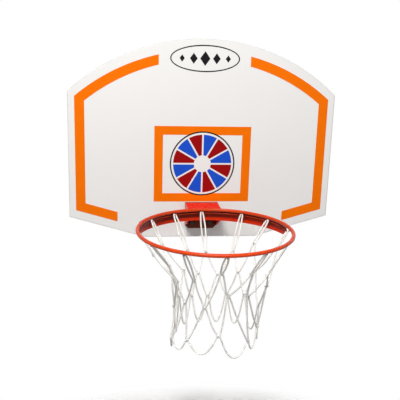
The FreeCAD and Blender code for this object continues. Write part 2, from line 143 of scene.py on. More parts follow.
def makeEdgeWear():  # broken rub marks where a piece turns a corner
    group, given, out = newGroup(
        "edgeWear", [("Radius", "Float", 0.001), ("Scale", "Float", 150), ("Amount", "Float", 0.5)],
        [("Mask", "Float")])
    rounded = addNode(group, "Bevel", samples=6)
    join(group, given["Radius"], rounded.inputs["Radius"])
    turned = addNode(group, "VectorMath", operation="DOT_PRODUCT")
    join(group, rounded.outputs[0], turned.inputs[0])
    join(group, addNode(group, "NewGeometry").outputs["Normal"], turned.inputs[1])
    corner = remap(group, turned.outputs["Value"], 0.99, 0.82, 0.0, 1.0)
    broken = remap(group, noiseAt(group, given["Scale"], 5.0, 0.7), 0.46, 0.62, 0.0, 1.0)
    worn = calculate(group, "MULTIPLY", corner, broken)
    join(group, calculate(group, "MULTIPLY", worn, given["Amount"]), out["Mask"])
    return group


def makeSettledDust():  # dust on faces that look up
    group, given, out = newGroup(
        "settledDust", [("Scale", "Float", 40), ("Amount", "Float", 0.2)], [("Mask", "Float")])
    split = addNode(group, "SeparateXYZ")
    join(group, addNode(group, "NewGeometry").outputs["Normal"], split.inputs[0])
    upward = remap(group, split.outputs["Z"], 0.2, 1.0, 0.0, 1.0)
    specks = remap(group, noiseAt(group, given["Scale"], 6.0, 0.75), 0.4, 0.75, 0.2, 1.0)
    dusty = calculate(group, "MULTIPLY", upward, specks)
    join(group, calculate(group, "MULTIPLY", dusty, given["Amount"]), out["Mask"])
    return group


def makeCornerShade():  # painted shade: inside corners darken where nearby parts block the light
    group, given, out = newGroup(
        "paintedCornerShade",
        [("Reach", "Float", 0.01), ("Open", "Float", 0.9), ("Shut", "Float", 0.5), ("Amount", "Float", 0.8)],
        [("Mask", "Float")])
    corner = addNode(group, "AmbientOcclusion", samples=12)
    join(group, given["Reach"], corner.inputs["Distance"])
    ragged = calculate(group, "MULTIPLY", calculate(group, "SUBTRACT", noiseAt(group, 180.0, 5.0, 0.7), 0.5), 0.15)
    depth = addNode(group, "MapRange", {"To Min": 0.0, "To Max": 1.0}, interpolation_type="SMOOTHSTEP")
    join(group, calculate(group, "ADD", corner.outputs["AO"], ragged), depth.inputs["Value"])
    join(group, given["Open"], depth.inputs["From Min"])
    join(group, given["Shut"], depth.inputs["From Max"])
    join(group, calculate(group, "MULTIPLY", depth.outputs[0], given["Amount"]), out["Mask"])
    return group


def makeZincSkin():  # crystal patches of a zinc coat
    group, given, out = newGroup(
        "zincSkin", [("Scale", "Float", 120), ("Base", "Color", (0.6, 0.6, 0.6, 1)), ("Amount", "Float", 0.3)],
        [("Color", "Color"), ("Roughness", "Float"), ("Height", "Float")])
    cells = addNode(group, "TexVoronoi")
    join(group, addNode(group, "TexCoord").outputs["Object"], cells.inputs["Vector"])
    join(group, given["Scale"], cells.inputs["Scale"])
    shade = addNode(group, "SeparateColor")
    join(group, cells.outputs["Color"], shade.inputs[0])
    drift = calculate(group, "SUBTRACT", shade.outputs[0], 0.5)
    level = calculate(group, "ADD", calculate(group, "MULTIPLY", drift, given["Amount"]), 1.0)
    join(group, mixColours(group, "MULTIPLY", 1.0, given["Base"], level), out["Color"])
    join(group, remap(group, shade.outputs[1], 0.0, 1.0, 0.34, 0.56), out["Roughness"])
    join(group, noiseAt(group, 900.0, 3.0, 0.6), out["Height"])
    return group


patchyTone = makePatchyTone()
orangePeel = makeOrangePeel()
edgeWear = makeEdgeWear()
settledDust = makeSettledDust()
# painted shade in inside corners
paintedCornerShade = makeCornerShade()
zincSkin = makeZincSkin()
print("effects ready")


# finishes

def newFinish(name, sockets=None):
    material = bpy.data.materials.new(name)
    material.use_nodes = True
    tree = material.node_tree
    tree.nodes.clear()
    skin = addNode(tree, "BsdfPrincipled", sockets)
    join(tree, skin.outputs[0], addNode(tree, "OutputMaterial").inputs["Surface"])
    return material, tree, skin


def bumpInto(tree, skin, height, depth, softRadius=0.0):
    bump = addNode(tree, "Bump", {"Strength": 1.0, "Distance": depth})
    join(tree, height, bump.inputs["Height"])
    if softRadius:
        softened = addNode(tree, "Bevel", {"Radius": softRadius}, samples=6)
        join(tree, softened.outputs[0], bump.inputs["Normal"])
    join(tree, bump.outputs[0], skin.inputs["Normal"])


sheetLook = {
    "colour": (0.88, 0.87, 0.858, 1), "dirt": (0.42, 0.37, 0.30, 1), "sheen": 0.36, "bandSheen": 0.48,
    "ripple": 450, "soft": 2.5 * mm,
}


def makeSheetFinish(name, sheen):  # melamine face, pressed with a fine ripple
    material, tree, skin = newFinish(name)
    tone = useGroup(tree, patchyTone, Base=sheetLook["colour"], Scale=9, Amount=0.035)
    dust = useGroup(tree, settledDust, Scale=60, Amount=0.35)
    join(tree, mixColours(tree, "MIX", dust.outputs[0], tone.outputs[0], sheetLook["dirt"]), skin.inputs["Base Color"])
    peel = useGroup(tree, orangePeel, Scale=sheetLook["ripple"], Sheen=sheen, Spread=0.12)
    join(tree, peel.outputs["Roughness"], skin.inputs["Roughness"])
    bumpInto(tree, skin, peel.outputs["Height"], 0.02 * mm, sheetLook["soft"])
    return material


coreLook = {"colour": (0.50, 0.34, 0.19, 1), "fibre": (0.34, 0.21, 0.11, 1)}


def makeCoreFinish():  # pressed wood fibre
    material, tree, skin = newFinish("boardFibre")
    fibres = noiseAt(tree, 900.0, 4.0, 0.7, (1.0, 3.0, 1.0))
    join(tree, mixColours(tree, "MIX", fibres, coreLook["colour"], coreLook["fibre"]), skin.inputs["Base Color"])
    join(tree, remap(tree, fibres, 0.0, 1.0, 0.75, 0.95), skin.inputs["Roughness"])
    bumpInto(tree, skin, fibres, 0.1 * mm)
    return material


inkLook = {
    "orange": (0.96, 0.178, 0.001, 1), "black": (0.012, 0.011, 0.012, 1),
    "blue": (0.014, 0.085, 0.62, 1), "red": (0.33, 0.004, 0.005, 1), "sheen": 0.42, "gloss": 0.06,
}


def makeInkFinish(colour):  # screen print, with the grain of the mesh it came through
    material, tree, skin = newFinish("ink" + colour.capitalize(), {"Specular IOR Level": inkLook["gloss"]})
    tone = useGroup(tree, patchyTone, Base=inkLook[colour], Scale=35, Amount=0.12)
    join(tree, tone.outputs[0], skin.inputs["Base Color"])
    peel = useGroup(tree, orangePeel, Scale=1400, Sheen=inkLook["sheen"], Spread=0.15)
    join(tree, peel.outputs["Roughness"], skin.inputs["Roughness"])
    bumpInto(tree, skin, peel.outputs["Height"], 0.02 * mm, 0.15 * mm)
    return material


coatLook = {
    "ring": (0.60, 0.046, 0.003, 1), "brace": (0.64, 0.026, 0.003, 1),
    "bracket": (0.72, 0.013, 0.015, 1), "plate": (0.22, 0.032, 0.012, 1),
    # the third colour below is the colour of painted shade, for inside corners and the brace under the rod
    "worn": (0.14, 0.08, 0.06, 1), "dust": (0.55, 0.24, 0.16, 1), "paintedShade": (0.10, 0.004, 0.001, 1),
    "gloss": {"ring": 0.15, "brace": 0.08, "bracket": 0.08, "plate": 0.08}, "sheen": 0.28, "ripple": 650,
    # the last entry below is how far the painted corner shade looks for nearby parts
    "clear": 0.04, "clearSheen": 0.12, "cornerShadeReach": 18 * mm,
    # painted shade of the rod on the brace: its darkness, the height it fades at, and how it weakens towards the
    # brace's ends
    "rodShade": 0.86, "rodShadeLow": -211 * mm, "rodShadeFade": 5 * mm, "rodShadeFull": 50 * mm, "rodShadeThin": 150 * mm, "rodShadeEnd": 0.65,
}


def paintRodShade(tree):  # painted shade of the rod on the brace below it, with thin coat there: the brace darkens above a ragged line, less towards its ends
    split = addNode(tree, "SeparateXYZ")
    join(tree, addNode(tree, "TexCoord").outputs["Object"], split.inputs[0])
    ragged = calculate(tree, "MULTIPLY", noiseAt(tree, 130.0, 5.0, 0.7), coatLook["rodShadeFade"])
    height = calculate(tree, "ADD", split.outputs["Z"], ragged)
    low = coatLook["rodShadeLow"]
    strip = remap(tree, height, low, low + coatLook["rodShadeFade"], 0.0, coatLook["rodShade"])
    sideways = calculate(tree, "MULTIPLY", split.outputs["X"], split.outputs["X"])
    thinned = remap(tree, sideways, coatLook["rodShadeFull"] ** 2, coatLook["rodShadeThin"] ** 2, 1.0, coatLook["rodShadeEnd"])
    return calculate(tree, "MULTIPLY", strip, thinned)


def makeCoatFinish(name, colour):  # powder coat on steel
    sockets = {"Specular IOR Level": coatLook["gloss"][colour], "Coat Weight": coatLook["clear"],
               "Coat Roughness": coatLook["clearSheen"]}
    material, tree, skin = newFinish(name, sockets)
    tone = useGroup(tree, patchyTone, Base=coatLook[colour], Scale=55, Amount=0.16)
    worn = useGroup(tree, edgeWear, Radius=0.9 * mm, Scale=260, Amount=0.7)
    dust = useGroup(tree, settledDust, Scale=120, Amount=0.04)
    rubbed = mixColours(tree, "MIX", worn.outputs[0], tone.outputs[0], coatLook["worn"])
    # painted shade in inside corners, found by occlusion
    paintedShade = useGroup(tree, paintedCornerShade, Reach=coatLook["cornerShadeReach"], Open=0.93, Shut=0.72, Amount=0.85)
    dusty = mixColours(tree, "MIX", dust.outputs[0], rubbed, coatLook["dust"])
    dark = paintedShade.outputs[0]
    # on the brace, the rod's painted shade as well
    if colour == "brace":
        dark = calculate(tree, "MAXIMUM", dark, paintRodShade(tree))
    join(tree, mixColours(tree, "MIX", dark, dusty, coatLook["paintedShade"]), skin.inputs["Base Color"])
    peel = useGroup(tree, orangePeel, Scale=coatLook["ripple"], Sheen=coatLook["sheen"], Spread=0.14)
    join(tree, peel.outputs["Roughness"], skin.inputs["Roughness"])
    bumpInto(tree, skin, peel.outputs["Height"], 0.05 * mm, 0.7 * mm)
    return material


blackLook = {"colour": (0.060, 0.026, 0.018, 1), "steel": (0.20, 0.17, 0.15, 1), "sheen": 0.42, "gloss": 0.25}


def makeBlackFinish():  # blackened steel, rubbed bright at its corners
    material, tree, skin = newFinish("boltBlack", {"Specular IOR Level": blackLook["gloss"]})
    tone = useGroup(tree, patchyTone, Base=blackLook["colour"], Scale=160, Amount=0.4)
    worn = useGroup(tree, edgeWear, Radius=0.6 * mm, Scale=420, Amount=0.8)
    join(tree, mixColours(tree, "MIX", worn.outputs[0], tone.outputs[0], blackLook["steel"]), skin.inputs["Base Color"])
    peel = useGroup(tree, orangePeel, Scale=1100, Sheen=blackLook["sheen"], Spread=0.2)
    join(tree, peel.outputs["Roughness"], skin.inputs["Roughness"])
    bumpInto(tree, skin, peel.outputs["Height"], 0.03 * mm, 0.3 * mm)
    return material


zincLook = {"screw": (0.60, 0.60, 0.57, 1), "rail": (0.52, 0.53, 0.54, 1)}


def makeZincFinish(name, kind, scale, amount):
    material, tree, skin = newFinish(name, {"Metallic": 1.0})
    zinc = useGroup(tree, zincSkin, Scale=scale, Base=zincLook[kind], Amount=amount)
    join(tree, zinc.outputs["Color"], skin.inputs["Base Color"])
    join(tree, zinc.outputs["Roughness"], skin.inputs["Roughness"])
    bumpInto(tree, skin, zinc.outputs["Height"], 0.02 * mm, 0.4 * mm)
    return material


cordLook = {
    "colour": (0.84, 0.82, 0.78, 1), "grey": (0.75, 0.73, 0.69, 1), "fuzz": 0.25, "gloss": 0.2,
    "through": 0.7, "depth": 4 * mm, "tint": (1.0, 0.97, 0.92),
}


def makeCordFinish():  # nylon yarn, dull, with loose hairs of fibre
    sockets = {"Sheen Weight": cordLook["fuzz"], "Specular IOR Level": cordLook["gloss"],
               "Subsurface Weight": cordLook["through"], "Subsurface Scale": cordLook["depth"],
               "Subsurface Radius": cordLook["tint"]}
    material, tree, skin = newFinish("netCord", sockets)
    fibres = noiseAt(tree, 2600.0, 4.0, 0.7)
    soiled = remap(tree, noiseAt(tree, 35.0, 5.0, 0.7), 0.5, 0.8, 0.0, 0.6)
    tone = mixColours(tree, "MIX", soiled, cordLook["colour"], cordLook["grey"])
    shaded = mixColours(tree, "MULTIPLY", 1.0, tone, remap(tree, fibres, 0.2, 0.8, 0.86, 1.06))
    join(tree, shaded, skin.inputs["Base Color"])
    join(tree, remap(tree, fibres, 0.0, 1.0, 0.62, 0.88), skin.inputs["Roughness"])
    bumpInto(tree, skin, fibres, 0.12 * mm)
    return material


sheetFinish = makeSheetFinish("boardSheet", sheetLook["sheen"])
bandFinish = makeSheetFinish("edgeBand", sheetLook["bandSheen"])
coreFinish = makeCoreFinish()
inks = {colour: makeInkFinish(colour) for colour in ("orange", "black", "blue", "red")}
ringFinish = makeCoatFinish("ringCoat", "ring")
braceFinish = makeCoatFinish("braceCoat", "brace")
bracketFinish = makeCoatFinish("bracketCoat", "bracket")
plateFinish = makeCoatFinish("plateCoat", "plate")
boltFinish = makeBlackFinish()
screwFinish = makeZincFinish("screwZinc", "screw", 420.0, 0.18)
railFinish = makeZincFinish("railZinc", "rail", 130.0, 0.34)
cordFinish = makeCordFinish()

cadFinishes = {
    "board_core": coreFinish, "board_front_sheet": sheetFinish, "board_back_sheet": sheetFinish,
    "board_edge_band": bandFinish, "border_stripe_left": inks["orange"], "border_stripe_right": inks["orange"],
    "target_frame": inks["orange"], "badge_outline": inks["black"], "badge_blue_fields": inks["blue"],
    "badge_red_fields": inks["red"], "oval_outline": inks["black"], "oval_diamonds": inks["black"],
    "wall_rail_left": railFinish, "wall_rail_right": railFinish, "backing_plate": railFinish,
    "rail_screws": screwFinish, "ring_rod": ringFinish, "ring_brace": braceFinish, "net_hooks": ringFinish,
    "bracket_shelf": bracketFinish, "bracket_back_plate": plateFinish, "bracket_gusset_left": bracketFinish,
    "bracket_gusset_right": bracketFinish, "bracket_welds": bracketFinish, "bracket_bolts": boltFinish,
    "bolt_washers": boltFinish, "bolt_nuts": boltFinish, "net_loops": cordFinish, "net_mesh": cordFinish,
    "net_rim_loops": cordFinish, "net_knots": cordFinish,
}
for name, finish in cadFinishes.items():
    nodes[name].data.materials.clear()
    nodes[name].data.materials.append(finish)
print("finishes on", len(cadFinishes), "CAD nodes")


# lines and tubes

stepsPerLeg = 10


def smoothRoute(points):  # the points steer one smooth spline
    curve = bpy.data.curves.new("route", "CURVE")
    curve.dimensions = "3D"
    curve.resolution_u = stepsPerLeg
    spline = curve.splines.new("NURBS")
    spline.points.add(len(points) - 1)
    for target, source in zip(spline.points, points):
        target.co = (*source, 1.0)
    spline.order_u = 3
    spline.use_endpoint_u = True
    holder = bpy.data.objects.new("route", curve)
    mesh = bpy.data.meshes.new_from_object(holder)
    line = [vertex.co.copy() for vertex in mesh.vertices]
    bpy.data.objects.remove(holder)
    bpy.data.curves.remove(curve)
    bpy.data.meshes.remove(mesh)
    return line


def evenSteps(line, step):  # the same line with its points a step apart
    lengths = [0.0]
    for one, two in zip(line, line[1:]):
        lengths.append(lengths[-1] + (two - one).length)
    count = max(2, round(lengths[-1] / step))
    spaced, leg = [], 0
    for k in range(count + 1):
        goal = lengths[-1] * k / count
        while leg < len(line) - 2 and lengths[leg + 1] < goal:
            leg += 1
        share = (goal - lengths[leg]) / max(lengths[leg + 1] - lengths[leg], 1e-9)
        spaced.append(line[leg].lerp(line[leg + 1], share))
    return spaced


def stitchRows(bm, rows, smooth):
    for one, two in zip(rows, rows[1:]):
        for k in range(len(one)):
            after = (k + 1) % len(one)
            bm.faces.new((one[k], one[after], two[after], two[k])).smooth = smooth


def sweep(bm, line, sectionAt, closed=False):
    count = len(line)
    runs = []
    for k in range(count):
        before = line[k - 1] if k or closed else line[k]
        after = line[(k + 1) % count] if k < count - 1 or closed else line[k]
        runs.append((after - before).normalized())
    side = runs[0].orthogonal().normalized()
    rings, gone = [], 0.0
    for k, (spot, run) in enumerate(zip(line, runs)):
        if k:
            side.rotate(runs[k - 1].rotation_difference(run))
            gone += (spot - line[k - 1]).length
        other = run.cross(side)
        rings.append([bm.verts.new(spot + side * a + other * b) for a, b in sectionAt(k, gone)])
    if closed:
        rings.append(rings[0])
    else:
        bm.faces.new(rings[0][::-1])
        bm.faces.new(rings[-1])
    stitchRows(bm, rings, True)


def roundSection(radius, sides):
    turns = [2 * math.pi * k / sides for k in range(sides)]
    return [(radius * math.cos(t), radius * math.sin(t)) for t in turns]


def addPiece(name, bm, finish, slotName, *replaced):
    bmesh.ops.recalc_face_normals(bm, faces=bm.faces)
    mesh = bpy.data.meshes.new(name)
    bm.to_mesh(mesh)
    bm.free()
    mesh.materials.append(finish)
    piece = bpy.data.objects.new(name, mesh)
    scene.collection.objects.link(piece)
    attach(piece, "root")
    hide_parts(*replaced)
    print("piece", name, len(mesh.polygons), "faces")


# ring

ring = {
    "centre": Vector((0, -357, -187)) * mm, "radius": 205 * mm, "rod": 5 * mm, "sides": 24, "steps": 240,
    "seamTurn": 115, "seamLength": 9, "seamRise": 0.10,
}


def ringPoint(turn, radius, drop=0.0):  # turns start at the back and go towards +X
    angle = math.radians(turn)
    return ring["centre"] + Vector((radius * math.sin(angle), radius * math.cos(angle), -drop))


def buildRod():
    bm = bmesh.new()
    turns = [360 * k / ring["steps"] for k in range(ring["steps"])]

    def rodSection(k, gone):  # a little fatter at the seam where the bar's ends meet
        away = (turns[k] - ring["seamTurn"]) * math.radians(1) * ring["radius"] / (ring["seamLength"] * mm)
        return roundSection(ring["rod"] * (1 + ring["seamRise"] * math.exp(-away * away)), ring["sides"])

    sweep(bm, [ringPoint(turn, ring["radius"]) for turn in turns], rodSection, True)
    addPiece("ringRod", bm, ringFinish, "ring_paint", "ring_rod")


buildRod()


# hooks

hooks = {
    "wire": 1.0 * mm, "sides": 10, "step": 0.8 * mm, "endShare": 0.75,
    "radius": 203 * mm, "bend": 3.8 * mm, "root": 3 * mm, "drop": 5.5 * mm, "lead": 1 * mm, "tip": 3 * mm,
    "blob": 1.7 * mm, "blobInward": 0.4 * mm,
    "blobRows": ((2.8, 0.3), (3.5, 0.8), (4.3, 1.0), (5.1, 0.95), (5.8, 0.75), (6.3, 0.55)),  # mm down, share of blob
    "turnShares": (-0.11, 0.03, -0.12, -0.10, 0.0, 0.0, 0.0, 0.0, 0.0, -0.05, 0.20, 0.07),
}
hookCount = len(hooks["turnShares"])
pitch = 360 / hookCount


def hookTurn(number):
    return (number + hooks["turnShares"][number]) * pitch


def buildHooks():
    bm = bmesh.new()
    for number in range(hookCount):
        turn, bend, drop = hookTurn(number), hooks["bend"], hooks["drop"]

        def spot(inward, depth):
            return ringPoint(turn, hooks["radius"] - inward, depth)

        route = [spot(0, hooks["root"]), spot(0, drop - hooks["lead"]), spot(0, drop + bend),
                 spot(bend, drop + 1.1 * bend), spot(2 * bend, drop + bend),
                 spot(2 * bend, drop - hooks["lead"]), spot(2 * bend, drop - hooks["tip"])]
        line = evenSteps(smoothRoute(route), hooks["step"])
        ends = (0, len(line) - 1)

        def wireSection(k, gone):
            return roundSection(hooks["wire"] * (hooks["endShare"] if k in ends else 1), hooks["sides"])

        def blobSection(k, gone):
            return roundSection(hooks["blob"] * hooks["blobRows"][k][1], hooks["sides"])

        sweep(bm, line, wireSection)
        sweep(bm, [spot(hooks["blobInward"], row[0] * mm) for row in hooks["blobRows"]], blobSection)
    addPiece("netHooks", bm, ringFinish, "ring_paint", "net_hooks")


buildHooks()


# weld beads

welds = {
    "bead": 2.1 * mm, "sides": 12, "ripple": 0.13, "pitch": 2.6 * mm, "sunk": 0.9 * mm,
    "shelfRadius": 213.5 * mm, "shelfHalf": 12.2, "shelfSteps": 120, "footSteps": 100,
}
bracket = {"half": 50 * mm, "sheet": 4 * mm, "front": -56 * mm, "low": -260 * mm, "shelfLow": -193 * mm}


def buildWelds():
    bm = bmesh.new()

    def beadSection(k, gone):
        wave = math.sin(2 * math.pi * gone / welds["pitch"])
        return roundSection(welds["bead"] * (1 + welds["ripple"] * wave), welds["sides"])

    steps = welds["shelfSteps"]
    turns = [welds["shelfHalf"] * (2 * k / steps - 1) for k in range(steps + 1)]
    sweep(bm, [ringPoint(turn, welds["shelfRadius"], welds["sunk"]) for turn in turns], beadSection)
    inset = bracket["sheet"] + welds["sunk"]
    rise = bracket["shelfLow"] - bracket["low"]
    steps = welds["footSteps"]
    for side in (-1, 1):
        foot = Vector((side * (bracket["half"] - inset), bracket["front"] - welds["sunk"], bracket["low"]))
        sweep(bm, [foot + Vector((0, 0, rise * k / steps)) for k in range(steps + 1)], beadSection)
    addPiece("bracketWelds", bm, bracketFinish, "bracket_paint", "bracket_welds")


buildWelds()


# wire under the rod

tie = {
    "wire": 1.1 * mm, "sides": 10, "endShare": 0.8, "radius": 203 * mm, "drop": 9.2 * mm,
    "span": (-66, 72), "steps": 120,
}


def buildWire():  # thin wire that ties the rear hooks together under the rod
    bm = bmesh.new()
    first, last = tie["span"]
    turns = [first + (last - first) * k / tie["steps"] for k in range(tie["steps"] + 1)]
    line = [ringPoint(turn, tie["radius"], tie["drop"]) for turn in turns]
    ends = (0, tie["steps"])
    sweep(bm, line, lambda k, gone: roundSection(tie["wire"] * (tie["endShare"] if k in ends else 1), tie["sides"]))
    addPiece("hookWire", bm, ringFinish, "ring_paint")


buildWire()


# bolts, nuts and screws

bolts = {
    "places": [(x * mm, z * mm) for x in (-27, 27) for z in (-254, -214)], "flats": 13 * mm, "head": 5.3 * mm,
    "shank": 4 * mm, "headSeat": -56 * mm, "nutSeat": -35.4 * mm, "nut": 6.5 * mm, "tail": -25.9 * mm,
    "thread": 1.25 * mm, "depth": 0.55 * mm, "tipCut": 0.5 * mm, "tipRun": 0.6 * mm,
    "topShare": 0.93, "topFlat": 4.6 * mm,
    "washer": 8 * mm, "washerSheet": 1.6 * mm, "washerTurn": 0.4 * mm, "sides": 48, "rodSides": 24,
}


def hexagonBlock(bm, x, z, seat, height, outward, bore):
    half, rows = bolts["flats"] / 2, []
    flat = bolts["topShare"] * half
    for level in ("foot", "shoulder", "top", "bore"):
        row = []
        for k in range(bolts["sides"]):
            angle = 2 * math.pi * k / bolts["sides"]
            reach = half / math.cos(angle % (math.pi / 3) - math.pi / 6)
            rise = {"foot": 0.0, "shoulder": height - (reach - flat) * math.tan(math.radians(30))}.get(level, height)
            reach = {"top": flat, "bore": bore}.get(level, reach)
            row.append(bm.verts.new((x + reach * math.cos(angle), seat + outward * rise, z + reach * math.sin(angle))))
        rows.append(row)
    stitchRows(bm, rows, False)
    bm.faces.new(rows[0])
    return rows[-1]


def threadedRod(bm, x, z, start, end):  # a ridge that winds round the shank
    rows, count = [], max(4, round((end - start) / (bolts["thread"] / 6)))
    for j in range(count + 1):
        y = start + (end - start) * j / count
        row = []
        for k in range(bolts["rodSides"]):
            phase = (y / bolts["thread"] + k / bolts["rodSides"]) % 1
            reach = bolts["shank"] - bolts["depth"] * abs(2 * phase - 1)
            reach -= bolts["tipCut"] * max(0.0, 1 - (end - y) / bolts["tipRun"])
            angle = 2 * math.pi * k / bolts["rodSides"]
            row.append(bm.verts.new((x + reach * math.cos(angle), y, z + reach * math.sin(angle))))
        rows.append(row)
    stitchRows(bm, rows, True)
    bm.faces.new(rows[0])
    bm.faces.new(rows[-1])


def pressedWasher(bm, x, z):  # a stamped disc, rounded on the side of the punch
    outer, inner, top, turned = bolts["washer"], bolts["shank"], bolts["nutSeat"], bolts["washerTurn"]
    profile = [(inner, top - bolts["washerSheet"]), (outer, top - bolts["washerSheet"]), (outer, top - turned),
               (outer - 0.3 * turned, top - 0.3 * turned), (outer - turned, top), (inner, top)]
    rows = []
    for reach, y in profile:
        spots = roundSection(reach, bolts["sides"])
        rows.append([bm.verts.new((x + a, y, z + b)) for a, b in spots])
    stitchRows(bm, rows, False)


def buildBolts():
    heads, nuts, washers = bmesh.new(), bmesh.new(), bmesh.new()
    for x, z in bolts["places"]:
        pressedWasher(washers, x, z)
        heads.faces.new(hexagonBlock(heads, x, z, bolts["headSeat"], bolts["head"], -1, bolts["topFlat"]))
        threadedRod(heads, x, z, bolts["headSeat"], bolts["tail"])
        hexagonBlock(nuts, x, z, bolts["nutSeat"], bolts["nut"], 1, bolts["shank"])
    addPiece("bracketBolts", heads, boltFinish, "black_steel", "bracket_bolts")
    addPiece("boltNuts", nuts, boltFinish, "black_steel", "bolt_nuts")
    addPiece("boltWashers", washers, boltFinish, "black_steel", "bolt_washers")


buildBolts()

screws = {
    "places": [(x * mm, z * mm) for x in (-294, 294) for z in (-130, 130)], "seat": -37 * mm, "head": 4.5 * mm,
    "dome": 2.8 * mm, "round": 3.2, "arm": 0.58, "slot": 0.15, "deep": 0.55,
    "rows": 14, "sides": 64, "weld": 0.001 * mm,
}


def buildScrews():  # pan heads with a cross recess
    bm = bmesh.new()
    arm = screws["arm"]
    for x, z in screws["places"]:
        rows = []
        for j in range(screws["rows"] + 1):
            share = j / screws["rows"]
            row = []
            for k in range(screws["sides"]):
                angle = 2 * math.pi * k / screws["sides"]
                a, b = share * math.cos(angle), share * math.sin(angle)
                across, along = sorted((abs(a), abs(b)))
                sunk = screws["deep"] * (1 - along / arm) if across < screws["slot"] and along < arm else 0.0
                rise = screws["dome"] * (max(0.0, 1 - share ** screws["round"]) ** 0.5 - sunk)
                row.append(bm.verts.new((x + a * screws["head"], screws["seat"] + rise, z + b * screws["head"])))
            rows.append(row)
        stitchRows(bm, rows, True)
        bmesh.ops.remove_doubles(bm, verts=rows[0], dist=screws["weld"])
    addPiece("railScrews", bm, screwFinish, "zinc_steel", "rail_screws")


buildScrews()


# net

net = {
    "length": 332 * mm, "cord": 2.5 * mm, "sides": 15, "lay": 14 * mm, "strand": 0.26, "step": 1.6 * mm,
    "knot": 6.5 * mm, "knotCord": 0.8, "knotSides": 9, "knotSteps": 40, "port": 2.65 * mm, "spread": 7 * mm,
    "sagShare": 0.05, "bendRuns": 4, "rimRuns": 7, "seed": 7, "stray": 2.2 * mm,
    "knotRows": (  # turn off the even pitch, radius and drop, as shares of pitch, ring radius and net length
        ((-0.07, 0.66, 0.315), (0.03, 0.68, 0.295), (-0.10, 0.72, 0.190), (-0.03, 0.83, 0.150),
         (0.07, 0.73, 0.300), (-0.03, 0.71, 0.235), (0.03, 0.68, 0.205), (-0.03, 0.69, 0.275),
         (-0.07, 0.73, 0.210), (-0.17, 0.80, 0.180), (0.17, 0.80, 0.205), (0.17, 0.68, 0.290)),
        ((0.00, 0.55, 0.495), (0.00, 0.56, 0.450), (-0.10, 0.62, 0.390), (0.23, 0.70, 0.420),
         (0.17, 0.58, 0.455), (0.17, 0.58, 0.415), (0.13, 0.58, 0.510), (0.05, 0.57, 0.505),
         (-0.33, 0.55, 0.375), (-0.10, 0.55, 0.390), (0.10, 0.54, 0.420), (0.00, 0.55, 0.480)),
        ((0.00, 0.49, 0.680), (0.00, 0.51, 0.650), (0.00, 0.55, 0.620), (0.03, 0.61, 0.650),
         (-0.44, 0.60, 0.790), (-0.74, 0.54, 0.870), (-0.03, 0.52, 0.760), (0.48, 0.54, 0.825),
         (0.20, 0.62, 0.840), (0.07, 0.51, 0.650), (0.07, 0.50, 0.630), (0.03, 0.49, 0.660)),
    ),
    "rimDrops": (0.93, 0.92, 0.91, 0.92, 0.96, 0.99, 0.94, 0.93, 0.94, 0.92, 0.91, 0.92),
}
strayHand = random.Random(net["seed"])
upward = Vector((0, 0, 1))


def knotCentre(row, number):
    shift, radiusShare, dropShare = net["knotRows"][row][number % hookCount]
    turn = (number + row % 2 / 2 + shift) * pitch
    return ringPoint(turn, radiusShare * ring["radius"], dropShare * net["length"])


def knotPort(row, number, side):
    centre = knotCentre(row, number)
    outward = centre - ring["centre"]
    outward.z = 0
    return centre + outward.normalized().cross(upward) * (side * net["port"])


def loopRoute(number):  # up from the knot, round the hook and down again
    crown = ringPoint(hookTurn(number), hooks["radius"] - hooks["bend"], hooks["drop"])
    left, right = knotPort(0, number, -1), knotPort(0, number, 1)
    down = ((left + right) / 2 - crown).normalized()
    side = (right - left - down * (right - left).dot(down)).normalized()
    step = math.pi / (2 * net["bendRuns"])
    corner = hooks["bend"] / math.cos(step)
    seat = crown + down * hooks["bend"]
    turns = [step * (2 * k + 1) for k in range(net["bendRuns"])]
    bend = [seat - side * (corner * math.cos(t)) - down * (corner * math.sin(t)) for t in turns]
    middle = (crown + (left + right) / 2) / 2
    return [left, middle - side * net["spread"], *bend, middle + side * net["spread"], right]


def meshRoute(start, end):  # sags a little and strays off its line by hand
    sag = upward * (net["sagShare"] * (end - start).length)
    stray = [Vector([strayHand.uniform(-1, 1) * net["stray"] for _ in range(3)]) for _ in range(2)]
    return [start, start.lerp(end, 0.33) - sag + stray[0], start.lerp(end, 0.67) - sag + stray[1], end]


def rimRoute(number):
    start, end = knotPort(2, number, 1), knotPort(2, number + 1, -1)
    low = ring["centre"].z - net["rimDrops"][number] * net["length"] + net["cord"]
    depth = (start.z + end.z) / 2 - low
    shares = [k / net["rimRuns"] for k in range(net["rimRuns"] + 1)]
    return [start.lerp(end, s) - upward * (depth * (1 - (2 * s - 1) ** 2)) for s in shares]


def cordAlong(bm, route):  # three strands laid into one cord
    line = evenSteps(smoothRoute(route), net["step"])

    def strands(k, gone):
        lay = 2 * math.pi * gone / net["lay"]
        section = []
        for j in range(net["sides"]):
            turn = 2 * math.pi * j / net["sides"]
            reach = net["cord"] * (1 - net["strand"] + net["strand"] * abs(math.cos(1.5 * (turn - lay))))
            section.append((reach * math.cos(turn), reach * math.sin(turn)))
        return section

    sweep(bm, line, strands)


def tieKnot(bm, row, number):  # a pulled-tight turn of cord
    centre = knotCentre(row, number)
    turn = strayHand.uniform(0, 2 * math.pi)
    thick, line = net["knotCord"] * net["cord"], []
    for k in range(net["knotSteps"]):
        t = 2 * math.pi * k / net["knotSteps"]
        a, b, c = math.sin(t) + 2 * math.sin(2 * t), math.cos(t) - 2 * math.cos(2 * t), -math.sin(3 * t)
        spun = Vector((a * math.cos(turn) - c * math.sin(turn), a * math.sin(turn) + c * math.cos(turn), b))
        line.append(centre + spun * ((net["knot"] - thick) / 3))
    sweep(bm, line, lambda k, gone: roundSection(thick, net["knotSides"]), True)


